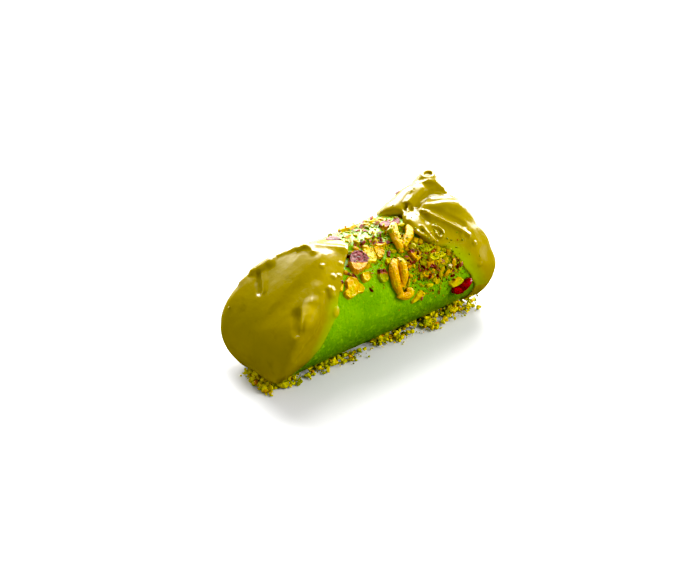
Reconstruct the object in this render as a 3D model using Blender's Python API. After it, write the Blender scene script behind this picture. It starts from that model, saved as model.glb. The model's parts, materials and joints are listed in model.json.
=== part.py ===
"""A pistachio cannoli: a soft green sheet rolled round a cream that fills it and spills over both
ends, with broken pistachios and one berry on its front and top.

X runs along the roll, -Y is its front, +Z is up. The origin is on the ground, under its middle.
An angle round the roll starts at the back (+Y) and turns over the top (90) to the front (180).
"""

import math

import bmesh
import bpy
from mathutils import Matrix, Vector

MM = 0.001
GAP = 0.3 * MM  # between pieces that touch
TOPPING_GAP = 0.4 * MM  # under a topping, because the facets below it stand proud of the curve

# The rolled sheet
ROLL_RADIUS = 22.7 * MM
AXIS_HEIGHT = 22.0 * MM  # less than the radius, so the roll stands on a flat strip
SHEET = 3.0 * MM
SEAM_ANGLE = 100.5  # where the sheet's outer edge lies on the roll
SEAM_STEP = 1.2 * MM
SEAM_SLOPE = 16  # degrees over which the cream eases the step
END_INSET = 2.5 * MM  # cream in front of the sheet's ends
END_LIFT = 1.1 * MM  # the sheet's underside lifts near its ends, over the cream
LIFT_RUN = 9.0 * MM
FLAT_ENDS = (-47.0 * MM, 41.0 * MM)  # where the underside starts to lift

# Ends of the cream along X: mean, then shares of cos, sin, cos of twice and sin of twice the angle
NEAR_RIM = (-46.7, 0.9, 15.5, -7.3, 1.3)
FAR_RIM = (52.2, -1.8, 0.8, 2.5, -0.8)
SHEET_FAR_END = (42.2, -1.0, -11.5, 7.2, 0.0)
NEAR_DOME = 8.0 * MM
FAR_DOME = 3.0 * MM
RIM_ROUND = 2.2 * MM

# The cream on the outside of the sheet
CREAM_SKIN = 0.45 * MM  # at its thin edges
EDGE_MARGIN = 1.6 * MM  # toppings this near to an edge of the cream stay above it
NEAR_BODY = 0.4 * MM  # further in, on top of the skin
FAR_BODY = 0.9 * MM
# Swellings of the near cream: height, X and reach along X in mm, then angle and spread in degrees
NEAR_SHOULDER = (1.2, -44, 5, 157, 13)
NEAR_CREST = (1.1, -24, 4, 84, 18)
# The lifted lip at the far end, and the soft ridge from it to the rim: height in mm, angle and
# spread in degrees, then where it starts along X and the length over which it rises or falls in mm
LIP = (2.2, 108, 25, 0, 9)
RIDGE = (1.3, 104, 14, 24, 8)

# The pulled peak of cream on top of the far end, with a low wing towards the near end: its height
# along X in mm, and round the roll its middle, then its reach to its front and to its back
PEAK_CREST = [(17, 0), (20, 2.2), (24, 3.6), (28, 4.6), (30.5, 6), (33, 7.2), (37, 7.4), (39, 7.8),
              (41.2, 8.6), (42.8, 10.2), (44.2, 11.2), (45.6, 10), (47.3, 6.8), (49.2, 3.4),
              (51.5, 1), (54.5, 0)]
PEAK_ANGLE = 71.0
PEAK_SPREAD = (14.0, 20.0)
PEAK_FALL = (4, 2)  # powers: steep to its front, soft to its back

# Shares of a kernel's size
BELLY = 0.4  # how far its flat underside bulges
GROOVE_WIDTH = 0.22
HOOK_START = 0.3
CROWN = 0.72

COLUMNS = 60
BODY_ROWS = 12


def wave(shares, angle):
    mean, cos1, sin1, cos2, sin2 = shares
    once = cos1 * math.cos(angle) + sin1 * math.sin(angle)
    twice = cos2 * math.cos(2 * angle) + sin2 * math.sin(2 * angle)
    return (mean + once + twice) * MM


def smooth(value):
    value = min(max(value, 0.0), 1.0)
    return value * value * (3 - 2 * value)


def bell(distance, width):
    return math.exp(-((distance / width) ** 2))


def turned(angle, middle):
    """The angle in degrees from middle, between -180 and 180."""
    return (math.degrees(angle) - middle + 180) % 360 - 180


def between(table, angle):
    """Reads (degrees, millimetres) pairs round the roll, easing from one to the next."""
    degrees = math.degrees(angle) % 360
    pairs = table + [(table[0][0] + 360, table[0][1])]
    if degrees < pairs[0][0]:
        degrees += 360
    for (start, low), (stop, high) in zip(pairs, pairs[1:]):
        if start <= degrees <= stop:
            return (low + (high - low) * smooth((degrees - start) / (stop - start))) * MM
    return pairs[0][1] * MM


# Width of the near cream over the sheet, from the rim, and where the far cream starts along X
NEAR_SPILL = [(0, 16), (40, 15), (75, 15), (101, 15.5), (115, 13), (142, 15), (160, 19), (185, 18),
              (198, 14), (214, 6), (250, 5), (300, 5), (330, 12)]
FAR_START = [(0, 36), (40, 27), (56, 19.5), (66, 18), (76, 20.5), (86, 24), (100, 20.5),
             (122, 21.5), (134, 24), (140, 31), (165, 36.5), (182, 41), (200, 45), (225, 46),
             (300, 46), (335, 42)]


def seam_rise(angle):
    """The sheet winds outwards behind the roll and ends in a step at the seam."""
    past = (math.degrees(angle) - SEAM_ANGLE) % 360
    return SEAM_STEP * smooth((past - 170) / 140)


def seam_cover(angle):
    """The same, with the cream's soft slope in place of the step."""
    ahead = turned(angle, SEAM_ANGLE)
    if -2 < ahead < SEAM_SLOPE:
        return SEAM_STEP * (1 - smooth((ahead + 2) / (SEAM_SLOPE + 2)))
    return seam_rise(angle)


def lift(x):
    start, stop = FLAT_ENDS
    return END_LIFT * (smooth((start - x) / LIFT_RUN) + smooth((x - stop) / LIFT_RUN))


def sheet_radius(x, angle, rise=seam_rise):
    uneven = 0.18 * MM * math.sin(x / (11 * MM) + 2 * angle) * smooth(math.sin(angle) + 1)
    radius = ROLL_RADIUS + rise(angle) + uneven
    down = -math.sin(angle)
    if down > 0.5:
        radius = min(radius, (AXIS_HEIGHT - lift(x)) / down)
    return radius


def near_rim(angle):
    return wave(NEAR_RIM, angle)


def far_rim(angle):
    return wave(FAR_RIM, angle)


def sheet_near(angle):
    return near_rim(angle) + END_INSET


def sheet_far(angle):
    return min(wave(SHEET_FAR_END, angle), far_rim(angle) - END_INSET)


def near_edge(angle):
    return near_rim(angle) + between(NEAR_SPILL, angle)


def far_edge(angle):
    return between(FAR_START, angle)


def peak(x, angle):
    """A crest pulled up and back, steep on its front side."""
    height = 0.0
    for (start, low), (stop, high) in zip(PEAK_CREST, PEAK_CREST[1:]):
        if start * MM <= x <= stop * MM:
            height = low + (high - low) * (x / MM - start) / (stop - start)
    off = turned(angle, PEAK_ANGLE)
    across = math.exp(-(abs(off / PEAK_SPREAD[off < 0]) ** PEAK_FALL[off < 0]))
    return height * MM * across


def swelling(x, angle, height, middle_x, reach, middle_angle, spread):
    along = bell(x / MM - middle_x, reach)
    return height * MM * along * bell(turned(angle, middle_angle), spread)


def near_bulge(x, angle):
    """The rolled shoulder beside the near mouth, and the crest at the top of its rim."""
    return swelling(x, angle, *NEAR_SHOULDER) + swelling(x, angle, *NEAR_CREST)


def far_bulge(x, angle):
    """The lip where the far cream starts, and the soft ridge that runs from it to the end."""
    height, middle, spread, start, run = LIP
    inwards = (x - far_edge(angle)) / MM - start
    lip = height * MM * smooth(1 - inwards / run) * bell(turned(angle, middle), spread)
    height, middle, spread, start, run = RIDGE
    ridge = height * MM * smooth((x / MM - start) / run) * bell(turned(angle, middle), spread)
    return lip + ridge


def cream_radius(x, angle):
    if x < 0:
        body = NEAR_BODY * smooth((near_edge(angle) - x) / (7 * MM)) + near_bulge(x, angle)
    else:
        body = FAR_BODY * smooth((x - far_edge(angle)) / (7 * MM))
        body += far_bulge(x, angle) + peak(x, angle)
    radius = sheet_radius(x, angle, seam_cover) + GAP + CREAM_SKIN + body
    down = -math.sin(angle)
    if down > 0.5:
        radius = min(radius, AXIS_HEIGHT / down)
    return radius


def surface_radius(x, angle):
    """What a topping lies on at this place: the cream, where there is any, or the sheet."""
    covered = x < near_edge(angle) + EDGE_MARGIN or x > far_edge(angle) - EDGE_MARGIN
    return cream_radius(x, angle) if covered else sheet_radius(x, angle)


def on_roll(x, angle, radius):
    return Vector((x, radius * math.cos(angle), AXIS_HEIGHT + radius * math.sin(angle)))


def angles():
    """Even steps round the roll, with the nearest ones moved to either side of the seam's step."""
    step = 360 / COLUMNS
    steps = [step * i for i in range(COLUMNS) if abs(step * i - SEAM_ANGLE) > step * 0.45]
    steps += [SEAM_ANGLE - 0.6, SEAM_ANGLE + 0.1]
    return [math.radians(degrees) for degrees in sorted(steps)]


def join_rows(bm, rows):
    """Fills the strips between neighbouring rings of points."""
    for low, high in zip(rows, rows[1:]):
        for i in range(len(low)):
            j = (i + 1) % len(low)
            bm.faces.new((low[i], low[j], high[j], high[i]))


def ring(bm, place):
    """One ring of points: place(angle) gives (x, radius)."""
    points = []
    for angle in angles():
        x, radius = place(angle)
        points.append(bm.verts.new(on_roll(x, angle, radius)))
    return points


def sheet_mesh():
    """A tube whose outside is the wound sheet and whose ends slant."""
    bm = bmesh.new()
    rows = []
    for i in range(BODY_ROWS + 1):
        share = i / BODY_ROWS

        def outside(angle, share=share):
            x = sheet_near(angle) + (sheet_far(angle) - sheet_near(angle)) * share
            return x, sheet_radius(x, angle)

        rows.append(ring(bm, outside))
    for end in (sheet_far, sheet_near):
        rows.append(ring(bm, lambda angle, end=end: (end(angle), bore_radius(angle))))
    join_rows(bm, rows + rows[:1])
    return bm


def bore_radius(angle):
    """Inside of the sheet: round, and flattened underneath."""
    down = -math.sin(angle)
    radius = ROLL_RADIUS - SHEET
    return min(radius, (AXIS_HEIGHT - SHEET - END_LIFT) / down) if down > 0.5 else radius


def face_place(shares, dome, share, angle):
    """A point of a domed end at this share of the way from its middle to its rim."""
    mean, cos1, sin1, cos2, sin2 = shares
    eased = (mean, cos1 * share, sin1 * share, cos2 * share**2, sin2 * share**2)
    x = wave(eased, angle) + dome * (1 - share**2)
    return x


def end_rows(bm, shares, dome, outwards, edge, sheet_end, spill_rows):
    """Rings from the middle of one end, over its rim and the spill, and back to the sheet's end."""
    rows = []
    for share in (0.22, 0.42, 0.6, 0.76, 0.89):

        def face(angle, share=share):
            x = face_place(shares, dome, share, angle)
            rim_x = wave(shares, angle) - outwards * RIM_ROUND
            return x, share * cream_radius(rim_x, angle)

        rows.append(ring(bm, face))

    def shoulder(angle):
        rim_x = wave(shares, angle) - outwards * RIM_ROUND
        x = face_place(shares, dome, 0.97, angle)
        return x - outwards * RIM_ROUND * 0.25, 0.97 * cream_radius(rim_x, angle)

    rows.append(ring(bm, shoulder))
    for row in range(spill_rows + 1):

        def spill(angle, share=row / spill_rows):
            start = wave(shares, angle) - outwards * RIM_ROUND
            x = start + (edge(angle) - start) * share
            return x, cream_radius(x, angle)

        rows.append(ring(bm, spill))
    for share in (0.0, 0.5, 1.0):

        def under(angle, share=share):
            stop = sheet_end(angle) + outwards * GAP
            x = edge(angle) + (stop - edge(angle)) * share
            return x, sheet_radius(x, angle) + GAP

        rows.append(ring(bm, under))
    rows.append(ring(bm, lambda a: (sheet_end(a) + outwards * GAP, bore_radius(a) - GAP)))
    middle = bm.verts.new(on_roll(shares[0] * MM + dome, 0.0, 0.0))
    return middle, rows


def cream_mesh():
    """One body: a core that fills the sheet, with a domed, spilling cap at each end."""
    bm = bmesh.new()
    near = end_rows(bm, NEAR_RIM, -NEAR_DOME, -1, near_edge, sheet_near, 5)
    far = end_rows(bm, FAR_RIM, FAR_DOME, 1, far_edge, sheet_far, 11)
    join_rows(bm, near[1] + far[1][::-1])
    for middle, rows, step in ((near[0], near[1], 1), (far[0], far[1], -1)):
        first = rows[0]
        for i in range(len(first)):
            bm.faces.new((middle, first[i], first[(i + step) % len(first)]))
    return bm


def kernel_mesh(size, taper, groove, hook, split):
    """A kernel: flat below, crowned, narrower at one end, with a groove along it. hook bends its
    far end to one side, and split spreads its near end into two prongs."""
    length, width, height = size
    bm = bmesh.new()
    detail = 3 if hook or split else 2
    bmesh.ops.create_icosphere(bm, subdivisions=detail, radius=1.0)
    for vert in bm.verts:
        x, y, z = vert.co
        z = z if z > 0 else z * BELLY
        open_end = split * smooth((0.5 - x) / 1.4)
        z -= (groove + 0.6 * open_end) * bell(y, GROOVE_WIDTH) * (1 - x * x * (1 - open_end)) * (z > 0)
        y = y * (1 - taper * x) - hook * max(x - HOOK_START, 0) ** 2
        y += math.copysign(open_end, y) * smooth(abs(y) / 0.3)
        x -= 0.35 * open_end * (1 - bell(y, 0.25)) - 0.3 * open_end
        vert.co = (x * length / 2, y * width / 2, z * height * CROWN)
    return bm


def chunk_mesh(size, cuts):
    """A broken piece: a rounded lump with flat breaks, each a direction and a share of its radius."""
    length, width, height = size
    bm = bmesh.new()
    bmesh.ops.create_icosphere(bm, subdivisions=2, radius=1.0)
    for direction, share in cuts:
        normal = Vector(direction).normalized()
        geometry = bm.verts[:] + bm.edges[:] + bm.faces[:]
        bmesh.ops.bisect_plane(bm, geom=geometry, dist=0.02, plane_co=normal * share,
                               plane_no=normal, clear_outer=True)
        bmesh.ops.holes_fill(bm, edges=[edge for edge in bm.edges if edge.is_boundary])
    bmesh.ops.scale(bm, vec=(length / 2, width / 2, height * 0.62), verts=bm.verts)
    return bm


def seat(bm, x, degrees, turn, tilt, roll, raise_by):
    """Lays a piece on the roll, stiff, and flattens whatever of it would sink in."""
    angle = math.radians(degrees)
    out = Vector((0, math.cos(angle), math.sin(angle)))
    round_roll = Vector((0, -math.sin(angle), math.cos(angle)))
    along = Vector((1, 0, 0))
    frame = Matrix((along, round_roll, out)).transposed().to_4x4()
    spin = Matrix.Rotation(math.radians(turn), 4, "Z")
    lean = Matrix.Rotation(math.radians(tilt), 4, "Y") @ Matrix.Rotation(math.radians(roll), 4, "X")
    place = on_roll(x, angle, surface_radius(x, angle) + TOPPING_GAP + raise_by)
    bm.transform(Matrix.Translation(place) @ frame @ spin @ lean)
    for vert in bm.verts:
        across = Vector((0, vert.co.y, vert.co.z - AXIS_HEIGHT))
        at = math.atan2(across.z, across.y)
        least = surface_radius(vert.co.x, at) + TOPPING_GAP
        if across.length < least:
            vert.co = on_roll(vert.co.x, at, least)
    bmesh.ops.remove_doubles(bm, verts=bm.verts, dist=0.05 * MM)


def material(name, colour, roughness):
    made = bpy.data.materials.new(name)
    made.use_nodes = True
    shader = made.node_tree.nodes["Principled BSDF"]
    shader.inputs["Base Color"].default_value = (*colour, 1)
    shader.inputs["Roughness"].default_value = roughness
    shader.inputs["Metallic"].default_value = 0.0
    return made


def add(name, bm, look, collection, smooth_angle):
    bmesh.ops.triangulate(bm, faces=bm.faces)
    bmesh.ops.recalc_face_normals(bm, faces=bm.faces)
    mesh = bpy.data.meshes.new(name)
    bm.to_mesh(mesh)
    bm.free()
    mesh.shade_smooth()
    mesh.set_sharp_from_angle(angle=math.radians(smooth_angle))
    mesh.materials.append(look)
    piece = bpy.data.objects.new(name, mesh)
    collection.objects.link(piece)


# Toppings: name, look, size (length, width, height) in mm, place (x in mm, degrees round),
# lean (turn, tilt, roll in degrees), how far its middle stands off the roll in mm, and its shape
KERNELS = [
    ("nut_whole", "kernel", (15.0, 7.6, 5.4), (3.4, 149.5), (97, 0, 6), 1.0, (0.10, 0.5, 0.9, 0)),
    ("nut_fork", "kernel", (11.0, 5.0, 4.6), (11.8, 113.5), (118, -4, 0), 1.2, (0.1, 0.2, 0, 0.5)),
    ("nut_skinned", "skin", (10.5, 9.0, 5.2), (-10.6, 118.0), (55, 4, 0), 0.8, (0.1, 0.15, 0, 0)),
    ("nut_green", "kernel", (8.6, 4.2, 3.4), (20.8, 133.0), (8, 0, -8), 0.7, (0.1, 0.25, 0, 0)),
    ("nut_long", "kernel", (10.5, 4.0, 3.0), (24.6, 146.5), (10, 0, 6), 0.6, (0.35, 0, 0, 0)),
    ("nut_low", "kernel", (10.0, 5.0, 3.2), (31.8, 177.5), (2, 0, 4), 0.6, (0.2, 0.12, 0, 0)),
    ("nut_top_strip", "kernel", (9.5, 3.6, 2.8), (1.4, 62.0), (8, -6, 14), 0.6, (0.2, 0.2, 0, 0)),
    ("nut_top_far", "kernel", (7.0, 4.2, 3.0), (12.6, 65.0), (-14, 0, 8), 0.6, (0.15, 0.2, 0, 0)),
    ("nut_top_near", "skin", (8.5, 4.8, 2.6), (-8.6, 73.0), (-6, 0, 0), 0.5, (0.12, 0.2, 0, 0)),
    ("nut_brown", "skin", (6.2, 4.8, 3.2), (-4.2, 140.5), (100, 0, 0), 0.6, (0.1, 0.15, 0, 0)),
]
CHUNKS = [
    ("nut_broken", "kernel", (12.6, 10.8, 5.0), (-19.0, 140.5), (62, 4, -4), 1.0,
     (((0.9, 0.6, 0.3), 0.62), ((-0.7, 0.8, 0.2), 0.5), ((-0.4, -1, 0.2), 0.75))),
    ("nut_cube", "kernel", (5.4, 4.4, 4.0), (-11.4, 136.0), (70, 0, 0), 0.7,
     (((1, 0.1, 0.2), 0.7), ((0, 1, 0.2), 0.65), ((-1, 0.2, 0.2), 0.75), ((0, 0, 1), 0.8))),
    ("nut_plate_a", "kernel", (6.0, 4.6, 3.0), (-4.0, 115.5), (75, 0, 8), 0.5,
     (((0.1, 0.2, 1), 0.55), ((0, 1, 0.1), 0.7), ((1, -0.3, 0.1), 0.8))),
    ("nut_plate_b", "kernel", (5.8, 4.4, 3.0), (1.0, 119.5), (105, 0, -8), 0.6,
     (((0.1, -0.2, 1), 0.6), ((0, -1, 0.1), 0.7), ((-1, 0.4, 0.1), 0.75))),
    ("nut_top_edge", "skin", (7.0, 5.0, 3.6), (12.6, 89.5), (40, 0, 0), 0.7,
     (((1, 0, 0.3), 0.7), ((-0.3, 1, 0.1), 0.6), ((0, -0.4, 1), 0.75))),
    ("nut_top_strap", "kernel", (6.4, 3.6, 3.0), (18.0, 92.0), (-24, 0, 0), 0.6,
     (((1, 0, 0.3), 0.8), ((0, 1, 0.4), 0.6), ((0, -0.4, 1), 0.75))),
    ("nut_orange", "kernel", (7.4, 5.0, 3.8), (13.0, 134.5), (-14, 0, 4), 0.7,
     (((1, 0.2, 0.2), 0.75), ((0, 1, 0.5), 0.6), ((-0.8, -0.6, 0.2), 0.7))),
    ("nut_triangle", "skin", (9.4, 7.0, 4.2), (17.0, 156.0), (-52, 0, -6), 0.8,
     (((0.6, 0.8, 0.1), 0.5), ((0.5, -0.9, 0.2), 0.5), ((0, 0, 1), 0.7))),
    ("nut_leaf", "kernel", (8.8, 4.8, 2.8), (11.2, 178.5), (-18, 0, 0), 0.5,
     (((0.4, 1, 0.3), 0.6), ((1, 0, 0.4), 0.8), ((0, 0, 1), 0.75))),
    ("berry", "berry", (10.5, 6.6, 5.4), (35.0, 191.5), (14, 0, 0), 1.2,
     (((-0.7, -0.4, 0.6), 0.8), ((0.3, 0.2, 1), 0.85))),
]
COLOURS = {
    "sheet": ((0.19, 0.43, 0.0), 0.6),
    "cream": ((0.31, 0.24, 0.01), 0.3),
    "kernel": ((0.74, 0.46, 0.01), 0.5),
    "skin": ((0.35, 0.08, 0.05), 0.5),
    "berry": ((0.33, 0.0, 0.02), 0.2),
}


def main():
    for old in list(bpy.data.objects):
        bpy.data.objects.remove(old)
    collection = bpy.data.collections.new("cannoli")
    bpy.context.scene.collection.children.link(collection)
    looks = {name: material(name, *finish) for name, finish in COLOURS.items()}
    add("shell", sheet_mesh(), looks["sheet"], collection, 50)
    add("cream", cream_mesh(), looks["cream"], collection, 50)
    for name, look, size, place, lean, off, shape in KERNELS:
        bm = kernel_mesh([side * MM for side in size], *shape)
        seat(bm, place[0] * MM, place[1], *lean, off * MM)
        add(name, bm, looks[look], collection, 40)
    for name, look, size, place, lean, off, cuts in CHUNKS:
        bm = chunk_mesh([side * MM for side in size], cuts)
        seat(bm, place[0] * MM, place[1], *lean, off * MM)
        add(name, bm, looks[look], collection, 30)


main()
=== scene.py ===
# Cannoli: a green sheet rolled round a pistachio cream, with broken pistachios and a berry on it.
# Places on the roll are (x in mm, degrees round it): 0 is the back, 90 the top, 180 the front.
import json
import math
import random

import bmesh
import bpy
import numpy as np
from mathutils import Matrix, Vector
from mathutils.bvhtree import BVHTree


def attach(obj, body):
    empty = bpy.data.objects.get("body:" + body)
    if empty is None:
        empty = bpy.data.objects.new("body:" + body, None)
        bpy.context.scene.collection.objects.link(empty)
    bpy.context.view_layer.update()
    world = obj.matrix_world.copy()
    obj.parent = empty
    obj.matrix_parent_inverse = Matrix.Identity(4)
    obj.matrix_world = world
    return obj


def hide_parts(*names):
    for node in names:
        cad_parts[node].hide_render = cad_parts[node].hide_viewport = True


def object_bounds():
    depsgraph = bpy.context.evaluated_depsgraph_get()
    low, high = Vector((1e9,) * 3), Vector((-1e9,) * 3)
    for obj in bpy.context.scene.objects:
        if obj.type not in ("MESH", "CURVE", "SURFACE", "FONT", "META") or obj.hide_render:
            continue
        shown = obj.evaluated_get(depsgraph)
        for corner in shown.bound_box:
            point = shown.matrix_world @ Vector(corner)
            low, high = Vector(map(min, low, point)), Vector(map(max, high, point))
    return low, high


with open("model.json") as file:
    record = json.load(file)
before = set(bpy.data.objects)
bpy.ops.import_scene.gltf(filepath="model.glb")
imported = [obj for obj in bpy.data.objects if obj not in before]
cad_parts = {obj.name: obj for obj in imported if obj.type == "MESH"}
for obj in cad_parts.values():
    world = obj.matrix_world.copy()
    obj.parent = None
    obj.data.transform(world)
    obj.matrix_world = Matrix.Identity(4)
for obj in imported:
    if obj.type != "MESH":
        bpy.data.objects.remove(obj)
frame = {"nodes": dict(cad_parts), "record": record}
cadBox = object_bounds()
mm = 0.001
axisHeight = 22.0 * mm  # the roll's centre line above the ground
farOut = 0.08  # from the centre line to where rays start, in metres
beforeFace = -0.12  # x where rays towards the near face start, in metres
samePoint = 0.00001  # points nearer than this are one, in metres
everywhere = 180  # smooth across any angle
random.seed(11)


def addNode(tree, kind, values=None, **settings):
    # a shader node with its settings and the values of its sockets
    node = tree.nodes.new("ShaderNode" + kind)
    for name, value in settings.items():
        setattr(node, name, value)
    for socket, value in (values or {}).items():
        node.inputs[socket].default_value = value
    return node


def joinSockets(tree, *pairs):
    for source, target in pairs:
        tree.links.new(source, target)


# The camera, the lamps, the sky and the floor.

camera = {"azimuth": -39.2, "elevation": 31.7, "distance": 678.6, "lens": 83.9, "sensor": 36,
          "aimBelowTop": 33.1, "aimFromNearEnd": 52.8, "clip": (0.05, 20)}
# Each lamp: place (x, y, z in mm), size in mm, watts. A Fill lights surfaces, a Gloss shows in reflections.
lamps = {
    "backFill": ((210, 660, 150), (560, 300), 21),
    "skyFill": ((335, 355, 485), (480, 420), 9.6),
    "frontFill": ((330, -560, 430), (420, 420), 5.5),
    "leftFill": ((-520, 60, 20), (300, 120), 0.7),
    "rightFill": ((600, -60, 170), (240, 240), 1.1),
    "backGloss": ((210, 660, 150), (560, 300), 20),
    "skyGloss": ((330, 430, 470), (660, 430), 14),
    "shoulderGloss": ((411, 183, 536), (200, 200), 1.0),
    "rimGloss": ((660, 130, 190), (440, 300), 6.2),
}
skyStrength = {"onFood": 0.35, "forCamera": 1.0, "lostInGloss": -0.34}
floorLook = {"size": 6, "roughness": 0.6, "onFood": (0.24, 0.24, 0.23, 1), "forCamera": (0.80, 0.80, 0.79, 1),
             "black": (0.0, 0.0, 0.0, 1), "blackFrom": 0.09, "blackTo": 0.05}  # x + y in metres
blackLevel = (0.012, 0.012, 0.028)


def placeCamera():
    low, high = cadBox
    turn, rise = math.radians(camera["azimuth"]), math.radians(camera["elevation"])
    back = Vector((math.sin(turn) * math.cos(rise), -math.cos(turn) * math.cos(rise), math.sin(rise)))
    aim = Vector((low.x + camera["aimFromNearEnd"] * mm, 0, high.z - camera["aimBelowTop"] * mm))
    lens = bpy.data.cameras.new("camera")
    lens.lens, lens.sensor_width = camera["lens"], camera["sensor"]
    lens.clip_start, lens.clip_end = camera["clip"]
    holder = bpy.data.objects.new("camera", lens)
    holder.location = aim + back * camera["distance"] * mm
    holder.rotation_euler = back.to_track_quat("Z", "Y").to_euler()
    bpy.context.scene.collection.objects.link(holder)
    bpy.context.scene.camera = holder
    return aim


def placeLamps(aim):
    for name, (place, size, watts) in lamps.items():
        light = bpy.data.lights.new(name, "AREA")
        light.shape, light.energy = "RECTANGLE", watts
        light.size, light.size_y = size[0] * mm, size[1] * mm
        lamp = bpy.data.objects.new(name, light)
        lamp.location = Vector(place) * mm
        lamp.rotation_euler = (lamp.location - aim).to_track_quat("Z", "Y").to_euler()
        lamp.visible_glossy = name.endswith("Gloss")
        lamp.visible_diffuse = name.endswith("Fill")
        bpy.context.scene.collection.objects.link(lamp)


def lightWorld():
    world = bpy.data.worlds.new("studio")
    world.use_nodes = True
    tree = world.node_tree
    sky = tree.nodes["Background"]
    sky.inputs["Color"].default_value = (1, 1, 1, 1)
    path = addNode(tree, "LightPath")
    dimmed = addNode(tree, "MapRange", {"To Min": skyStrength["onFood"], "To Max": skyStrength["forCamera"]})
    glossy = addNode(tree, "Math", {1: skyStrength["lostInGloss"]}, operation="MULTIPLY_ADD")
    joinSockets(tree, (path.outputs["Is Camera Ray"], dimmed.inputs["Value"]),
                (path.outputs["Is Glossy Ray"], glossy.inputs[0]),
                (dimmed.outputs["Result"], glossy.inputs[2]),
                (glossy.outputs[0], sky.inputs["Strength"]))
    bpy.context.scene.world = world


def lookOfFloor():
    # pale for the camera, dimmer for the food, and black in reflections where it lies before the food
    look = bpy.data.materials.new("paleFloor")
    look.use_nodes = True
    tree = look.node_tree
    shader = tree.nodes["Principled BSDF"]
    shader.inputs["Roughness"].default_value = floorLook["roughness"]
    shader.inputs["Specular IOR Level"].default_value = 0.0
    path = addNode(tree, "LightPath")
    shade = addNode(tree, "Mix", {"A": floorLook["onFood"], "B": floorLook["forCamera"]}, data_type="RGBA")
    dull = addNode(tree, "Mix", {"B": floorLook["black"]}, data_type="RGBA")
    where = addNode(tree, "TexCoord")
    apart = addNode(tree, "SeparateXYZ")
    across = addNode(tree, "Math", operation="ADD")
    front = addNode(tree, "MapRange", {"From Min": floorLook["blackFrom"], "From Max": floorLook["blackTo"]})
    hidden = addNode(tree, "Math", operation="MULTIPLY")
    joinSockets(tree, (path.outputs["Is Camera Ray"], shade.inputs["Factor"]),
                (where.outputs["Object"], apart.inputs["Vector"]),
                (apart.outputs["X"], across.inputs[0]),
                (apart.outputs["Y"], across.inputs[1]),
                (across.outputs[0], front.inputs["Value"]),
                (path.outputs["Is Glossy Ray"], hidden.inputs[0]),
                (front.outputs["Result"], hidden.inputs[1]),
                (hidden.outputs[0], dull.inputs["Factor"]),
                (shade.outputs["Result"], dull.inputs["A"]),
                (dull.outputs["Result"], shader.inputs["Base Color"]))
    return look


def layFloor():
    bpy.ops.mesh.primitive_plane_add(size=floorLook["size"], location=(0, 0, 0))
    floor = bpy.context.object
    floor.name = "floor"
    floor.data.materials.append(lookOfFloor())


def setTone():
    # crisp studio tone: pure whites, and blacks taken down a little
    tone = bpy.context.scene.view_settings
    tone.view_transform = "Standard"
    tone.use_curve_mapping = True
    tone.curve_mapping.black_level = blackLevel
    tone.curve_mapping.update()


setTone()
placeLamps(placeCamera())
lightWorld()
layFloor()
print("camera, lamps and floor are in place")


# What every piece is handled with.

def pickOnly(*pieces):
    bpy.ops.object.select_all(action="DESELECT")
    for piece in pieces:
        piece.select_set(True)
    bpy.context.view_layer.objects.active = pieces[0]


def applyModifiers(piece):
    pickOnly(piece)
    for modifier in list(piece.modifiers):
        bpy.ops.object.modifier_apply(modifier=modifier.name)


def modify(piece, kind, **values):
    modifier = piece.modifiers.new(kind.lower(), kind)
    for name, value in values.items():
        setattr(modifier, name, value)
    applyModifiers(piece)


def mergePoints(quads=False):
    bpy.ops.object.mode_set(mode="EDIT")
    bpy.ops.mesh.select_all(action="SELECT")
    bpy.ops.mesh.remove_doubles(threshold=samePoint)
    if quads:
        bpy.ops.mesh.tris_convert_to_quads()
    bpy.ops.object.mode_set(mode="OBJECT")


def copyNode(node, name):
    # a CAD node's mesh is loose triangles, so its copy is merged and made quads again
    mesh = frame["nodes"][node].data.copy()
    mesh.name = name
    piece = bpy.data.objects.new(name, mesh)
    bpy.context.scene.collection.objects.link(piece)
    mesh.materials.clear()
    pickOnly(piece)
    mergePoints(quads=True)
    if mesh.has_custom_normals:
        bpy.ops.mesh.customdata_custom_splitnormals_clear()
    return piece


def treeOf(*pieces):
    bm = bmesh.new()
    for piece in pieces:
        bm.from_mesh(piece.data)
    bmesh.ops.triangulate(bm, faces=bm.faces)
    tree = BVHTree.FromBMesh(bm)
    bm.free()
    return tree


def outFrom(degrees):
    angle = math.radians(degrees)
    return Vector((0, math.cos(angle), math.sin(angle)))


def onRoll(tree, x, degrees):
    # the outermost point, and its normal, at this place
    out = outFrom(degrees)
    axis = Vector((x * mm, 0, axisHeight))
    return tree.ray_cast(axis + out * farOut, -out)[:2]


def onFace(tree, y, z):
    # the same, seen along the roll from its near end
    return tree.ray_cast(Vector((beforeFace, y * mm, z * mm)), Vector((1, 0, 0)))[:2]


def finishPiece(piece, look, slotName, *nodes, smooth=everywhere):
    piece.data.materials.clear()
    piece.data.materials.append(look)
    pickOnly(piece)
    if smooth == everywhere:
        bpy.ops.object.shade_smooth()
    else:
        bpy.ops.object.shade_smooth_by_angle(angle=math.radians(smooth))
    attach(piece, "root")
    if nodes:
        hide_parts(*nodes)


def paint(piece, name, values):
    layer = piece.data.attributes.get(name) or piece.data.attributes.new(name, "FLOAT", "POINT")
    layer.data.foreach_set("value", np.asarray(values, np.float32))


# Shader groups, and the materials' common ways.

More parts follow.
